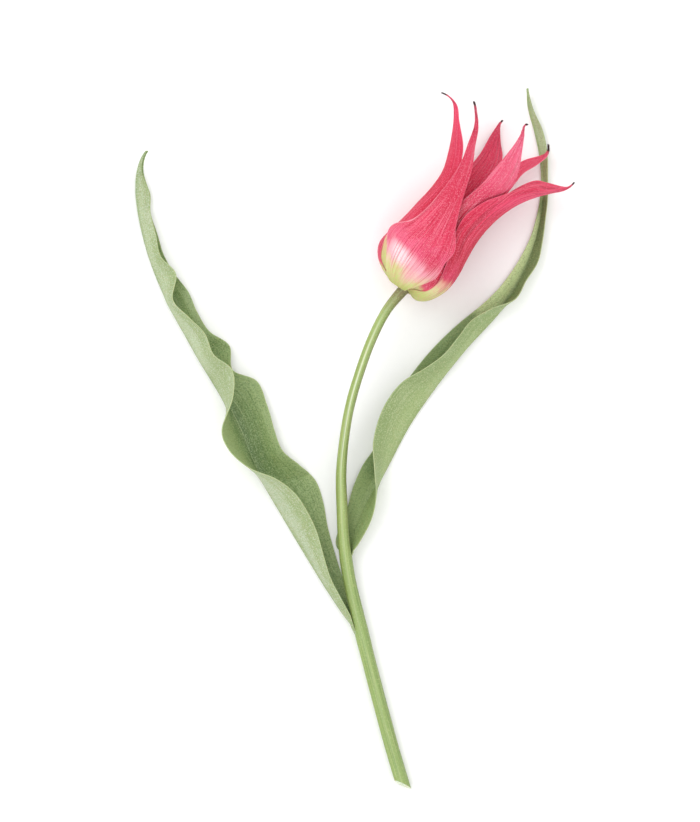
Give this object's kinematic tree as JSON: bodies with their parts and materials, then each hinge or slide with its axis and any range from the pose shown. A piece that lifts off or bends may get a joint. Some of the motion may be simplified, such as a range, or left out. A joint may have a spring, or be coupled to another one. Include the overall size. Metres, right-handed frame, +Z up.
{
  "type": "cut tulip",
  "caption": "Cut lily-shaped tulip lying on a surface: bent stem with a slanting cut end, two waved channelled leaves, and a bloom of tapering petals around pistil and stamens.",
  "frame": {"origin": "on the surface that the flower lies on, under the middle of its outline", "axes": "+Y along the flower from the cut end of the stem to the bloom, +Z straight up from the surface"},
  "size_m": [0.1979, 0.3156, 0.0418],
  "materials": {
    "stem": "smooth living plant skin, faintly streaked, with a soft sheen",
    "leaf": "smooth waxy leaf with fine parallel veins, grey-green and paler on its back",
    "petal": "satin petal with fine lengthwise streaks, yellow-green at its base and nearly black at its tip",
    "ovary": "smooth and slightly waxy",
    "stigma": "finely downy",
    "filament": "smooth",
    "anther": "powdery with pollen"
  },
  "bodies": {
    "root": {"stem": "stem", "leaf_lower": "leaf", "leaf_upper": "leaf", "petal_outer_front": "petal", "petal_outer_right": "petal", "petal_outer_back": "petal", "petal_inner_front": "petal", "petal_inner_left": "petal", "petal_inner_back": "petal", "pistil_ovary": "ovary", "pistil_stigma": "stigma", "stamen_1_filament": "filament", "stamen_1_anther": "anther", "stamen_2_filament": "filament", "stamen_2_anther": "anther", "stamen_3_filament": "filament", "stamen_3_anther": "anther", "stamen_4_filament": "filament", "stamen_4_anther": "anther", "stamen_5_filament": "filament", "stamen_5_anther": "anther", "stamen_6_filament": "filament", "stamen_6_anther": "anther"}
  },
  "joints": []
}
